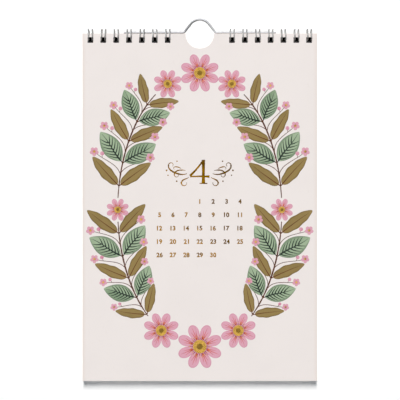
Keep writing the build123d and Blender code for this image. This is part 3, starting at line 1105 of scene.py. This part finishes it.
class CALENDAR_OT_stage(bpy.types.Operator):
    """Add the wall, the lights and the camera"""
    bl_idname = "calendar.stage"
    bl_label = "Stage"

    def execute(self, context):
        """The wall stands just behind the rings. Black cards close behind the rows of holes are painted
        shade: they make the holes look as deep and dark as they should."""
        stage = context.scene.calendar_stage
        paper, binding = context.scene.calendar_paper, context.scene.calendar_binding
        half, middle = stage.wall_w / 2, PAGE_TOP - stage.frame_drop
        self.backdrop("wall", [(-half, half)], middle - half, middle + half,
                      WIRE_HIGH.y + stage.wall_gap, "wall_paint", (1, 1, 1))
        # Painted shade: near-black cards behind the rows of holes stand in for the shade deep in them.
        near, far = loop_places(binding)[[0, -1]] + np.array([-1, 1]) * paper.hole_w
        low, high = PAGE_TOP - 1.5 * paper.hole_drop - paper.hole_w, PAGE_TOP - 0.5 * paper.hole_drop
        self.backdrop("hole_shade_cards", [(-far, -near), (near, far)], low, high,
                      BOARD_HIGH.y + stage.card_gap, "hole_shade_card", (0.003, 0.003, 0.003))
        self.camera(context, stage)
        self.world(context, stage)
        white = (1, 1, 1)
        self.light("key", radians(-2.5), radians(32), (2.2, 5.8), stage.key_share, stage.key_colour)
        self.light("fill", 0, radians(3), (1, 1), stage.fill_share, stage.fill_colour)
        self.light("rear", pi, radians(20), (4, 4), stage.rear_share, white)
        self.light("right", pi / 2, 0, (1, 1), stage.side_share, white)
        self.light("left", -pi / 2, 0, (1, 1), stage.side_share, white)
        return {"FINISHED"}

    def backdrop(self, name, spans, low, high, y, material, colour):
        """Upright faces at y over the spans of x. They cast no shadow and send no light back, so that
        the rear light reaches the board as if they weren't there."""
        corners = [(x, y, z) for a, b in spans
                   for x, z in ((a, low), (b, low), (b, high), (a, high))]
        mesh = bpy.data.meshes.new(name)
        mesh.from_pydata(corners, [], np.arange(len(corners)).reshape(-1, 4).tolist())
        mesh.materials.append(backdrop_material(material, colour))
        made = linked(name, mesh)
        made.visible_shadow = made.visible_diffuse = False
        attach(made, "back")

    def camera(self, context, stage):
        """Straight on, far enough away that the front leaf fills the picture as frame_w says."""
        data = bpy.data.cameras.new("camera")
        data.lens, data.sensor_width = stage.lens, SENSOR_W
        data.clip_start, data.clip_end = 0.05, 50
        camera = linked("camera", data)
        away = stage.lens / SENSOR_W * stage.frame_w
        camera.location = (stage.frame_side, PAGE_FRONT - away, PAGE_TOP - stage.frame_drop)
        camera.rotation_euler = (pi / 2, 0, 0)
        context.scene.camera = camera

    def world(self, context, stage):
        """White to the camera, and a faint even light from all round. The wires mirror a room that is
        bright in front, above and to the left, and dark below and to the right."""
        world = bpy.data.worlds.new("studio")
        world.use_nodes = True
        nodes = Nodes(world.node_tree)
        way, bright_side = nodes.add("TexCoord", output="Generated"), (-0.36, -0.77, 0.52)
        facing = nodes.add("VectorMath", {0: way, 1: bright_side}, "Value", operation="DOT_PRODUCT")
        room = nodes.fade(facing, 0.1, 0.6, 0.02, 1.6)
        mirrored_ray = nodes.add("LightPath", output="Is Glossy Ray")
        lit = nodes.add("Mix", {0: mirrored_ray, 2: stage.air, 3: room})
        seen = nodes.add("Mix", {0: nodes.add("LightPath", output="Is Camera Ray"), 2: lit, 3: 1.0})
        background = world.node_tree.nodes["Background"]
        nodes.put(background.inputs["Color"], (1, 1, 1))
        nodes.put(background.inputs["Strength"], seen)
        context.scene.world = world
        context.scene.view_settings.view_transform = "Standard"

    def light(self, name, side, rise, size, share, colour):
        """A soft box that shines at the leaves' middle, turned by side round the upright from straight
        in front and by rise above the level. share is what it adds to the light that shows a white
        wall as white."""
        data = bpy.data.lights.new(name, "AREA")
        data.shape = "RECTANGLE"
        data.size, data.size_y = size
        data.energy = share * pi * pi * LAMP_AWAY * LAMP_AWAY / cos(rise)
        data.color = colour[:3]
        lamp = linked(name, data)
        middle = (PAGE_TOP + PAGE_LOW.z) / 2
        level = LAMP_AWAY * cos(rise)
        lamp.location = (level * sin(side), -level * cos(side), middle + LAMP_AWAY * sin(rise))
        lamp.rotation_euler = (pi / 2 - rise, 0, side)
        lamp.visible_glossy = False


class CALENDAR_PT_panel(bpy.types.Panel):
    """Calendar tools"""
    bl_idname = "CALENDAR_PT_panel"
    bl_label = "Wall Calendar"
    bl_space_type = "VIEW_3D"
    bl_region_type = "UI"
    bl_category = "Calendar"

    def draw(self, context):
        for operator in OPERATORS:
            self.layout.operator(operator.bl_idname)


GROUPS = {
    "calendar_paper": CalendarPaper,
    "calendar_binding": CalendarBinding,
    "calendar_hanger": CalendarHanger,
    "calendar_print": CalendarPrint,
    "calendar_stage": CalendarStage,
}
OPERATORS = (
    CALENDAR_OT_leaves,
    CALENDAR_OT_wires,
    CALENDAR_OT_hanger,
    CALENDAR_OT_wreath,
    CALENDAR_OT_month,
    CALENDAR_OT_stage,
)


def register():
    """Register every class, and the settings on the scene."""
    for name, group in GROUPS.items():
        bpy.utils.register_class(group)
        setattr(bpy.types.Scene, name, bpy.props.PointerProperty(type=group))
    for kind in (*OPERATORS, CALENDAR_PT_panel):
        bpy.utils.register_class(kind)


def unregister():
    """Take them all away again."""
    for kind in (CALENDAR_PT_panel, *reversed(OPERATORS)):
        bpy.utils.unregister_class(kind)
    for name, group in reversed(GROUPS.items()):
        delattr(bpy.types.Scene, name)
        bpy.utils.unregister_class(group)


def main():
    """Build every piece."""
    register()
    bpy.ops.calendar.leaves()
    bpy.ops.calendar.wires()
    bpy.ops.calendar.hanger()
    bpy.ops.calendar.wreath()
    bpy.ops.calendar.month()
    bpy.ops.calendar.stage()


if __name__ == "__main__":
    main()
